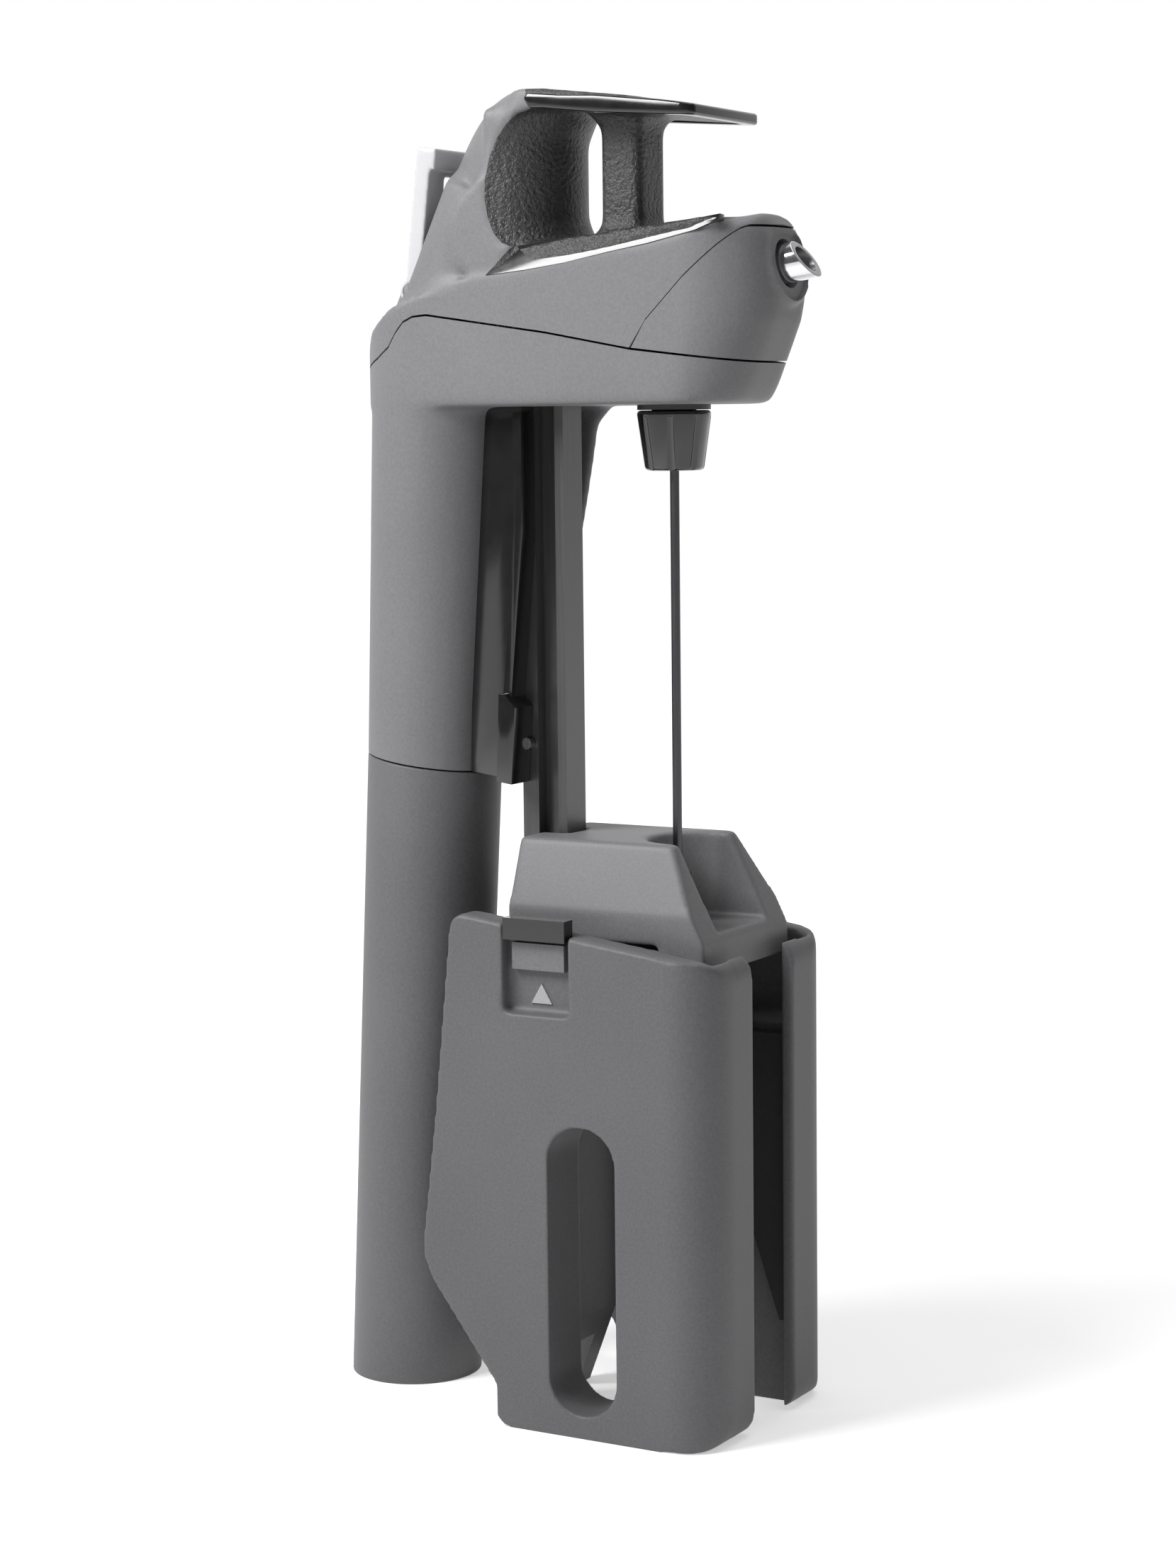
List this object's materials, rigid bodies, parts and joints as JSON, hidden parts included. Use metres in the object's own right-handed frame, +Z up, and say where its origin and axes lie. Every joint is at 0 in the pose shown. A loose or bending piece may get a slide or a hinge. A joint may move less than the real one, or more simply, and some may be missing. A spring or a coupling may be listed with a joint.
{
  "type": "needle wine access tool",
  "caption": "Handheld wine tool: a body with handle, trigger and spout slides on a two-jaw bottle clamp to drive a hollow needle; a gas capsule sits in a screw-on rear cup.",
  "frame": {"origin": "centre of the plan bounding box, on the plane the cup and the two jaws stand on", "axes": "+Z up along the needle; -Y toward the spout; the symmetry plane is X = 0"},
  "size_m": [0.0446, 0.0889, 0.215],
  "materials": {
    "soft_plastic": "satin, fine grained",
    "grip_liner": "pebbled",
    "dark_rail": "black anodised, semi-gloss",
    "gloss_plastic": "gloss",
    "hard_plastic": "satin",
    "bright_spout": "polished",
    "steel": "drawn",
    "regulator_metal": "turned",
    "rubber": "matt",
    "silver_plastic": "satin silver",
    "white_mark": "printed"
  },
  "bodies": {
    "body": {"lower_housing": "soft_plastic", "upper_housing": "soft_plastic", "handle_liner": "grip_liner", "nose_cover": "soft_plastic", "rail": "dark_rail", "rail_pin_low": "steel", "rail_pin_high": "steel", "rail_end_stop": "gloss_plastic", "spout_tube": "bright_spout", "spout_collar": "gloss_plastic", "passage_block": "hard_plastic", "needle_hub": "hard_plastic", "needle_seal": "rubber", "cup_thread_ring": "gloss_plastic", "regulator_body": "regulator_metal", "piercing_pin": "steel", "capsule_seal": "rubber", "regulator_piston": "regulator_metal", "regulator_cap": "regulator_metal", "regulator_spring": "steel", "feed_tube": "steel", "gas_tube": "steel", "trigger_pin": "steel", "trigger_spring": "steel", "valve_body": "hard_plastic", "valve_seal": "rubber"},
    "needle_set": {"needle_nut": "hard_plastic", "needle": "steel"},
    "capsule": {"gas_capsule": "steel", "capsule_pad": "rubber"},
    "cup": {"capsule_cup": "soft_plastic"},
    "clamp": {"clamp_block": "soft_plastic", "needle_guide": "gloss_plastic", "clamp_spine": "soft_plastic", "spine_screw_near": "steel", "spine_screw_far": "steel", "guide_shoe_near": "gloss_plastic", "guide_shoe_far": "gloss_plastic", "hinge_pin_near": "steel", "hinge_pin_far": "steel", "panel_spring_near": "steel", "panel_spring_far": "steel"},
    "near_jaw": {"panel_near": "soft_plastic", "latch_carrier_near": "hard_plastic", "latch_tab_near": "gloss_plastic", "arrow_mark_near": "white_mark", "jaw_pad_near": "rubber"},
    "far_jaw": {"panel_far": "soft_plastic", "latch_carrier_far": "hard_plastic", "latch_tab_far": "gloss_plastic", "arrow_mark_far": "white_mark", "jaw_pad_far": "rubber"},
    "trigger": {"trigger_lever": "silver_plastic"},
    "valve": {"valve_stem": "steel"}
  },
  "joints": [
    {"name": "clamp_slide", "type": "slide", "parent": "body", "child": "clamp", "axis": [0, 0, 1], "range_m": [0, 0.05]},
    {"name": "near_jaw_hinge", "type": "hinge", "parent": "clamp", "child": "near_jaw", "pos_m": [-0.014, -0.0124, 0.0765], "axis": [0, 1, 0], "range_deg": [0, 13], "stiffness_Nm_per_rad": 0.12, "springref_deg": -8.59},
    {"name": "far_jaw_hinge", "type": "hinge", "parent": "clamp", "child": "far_jaw", "pos_m": [0.014, -0.0124, 0.0765], "axis": [0, -1, 0], "range_deg": [0, 13], "stiffness_Nm_per_rad": 0.12, "springref_deg": -8.59},
    {"name": "needle_turn", "type": "hinge", "parent": "body", "child": "needle_set", "pos_m": [0, -0.0184, 0.16], "axis": [0, 0, -1], "range_deg": [0, 90]},
    {"name": "capsule_slide", "type": "slide", "parent": "body", "child": "capsule", "axis": [0, 0.0541, -0.9985], "range_m": [0, 0.006]},
    {"name": "cup_turn", "type": "hinge", "parent": "capsule", "child": "cup", "pos_m": [0, 0.03103, 0.05], "axis": [0, 0.0541, -0.9985], "range_deg": [0, 270]},
    {"name": "trigger_hinge", "type": "hinge", "parent": "body", "child": "trigger", "pos_m": [0, 0.0256, 0.184], "axis": [1, 0, 0], "range_deg": [0, 4.5], "stiffness_Nm_per_rad": 0.3, "springref_deg": -4.58},
    {"name": "valve_slide", "type": "slide", "parent": "body", "child": "valve", "axis": [0, -1, 0], "range_m": [0, 0.00047]}
  ],
  "couplings": [
    {"joint": "cup_turn", "follows": "capsule_slide", "rad_per_m": 785.39},
    {"joint": "trigger_hinge", "follows": "valve_slide", "rad_per_m": 166.67}
  ]
}
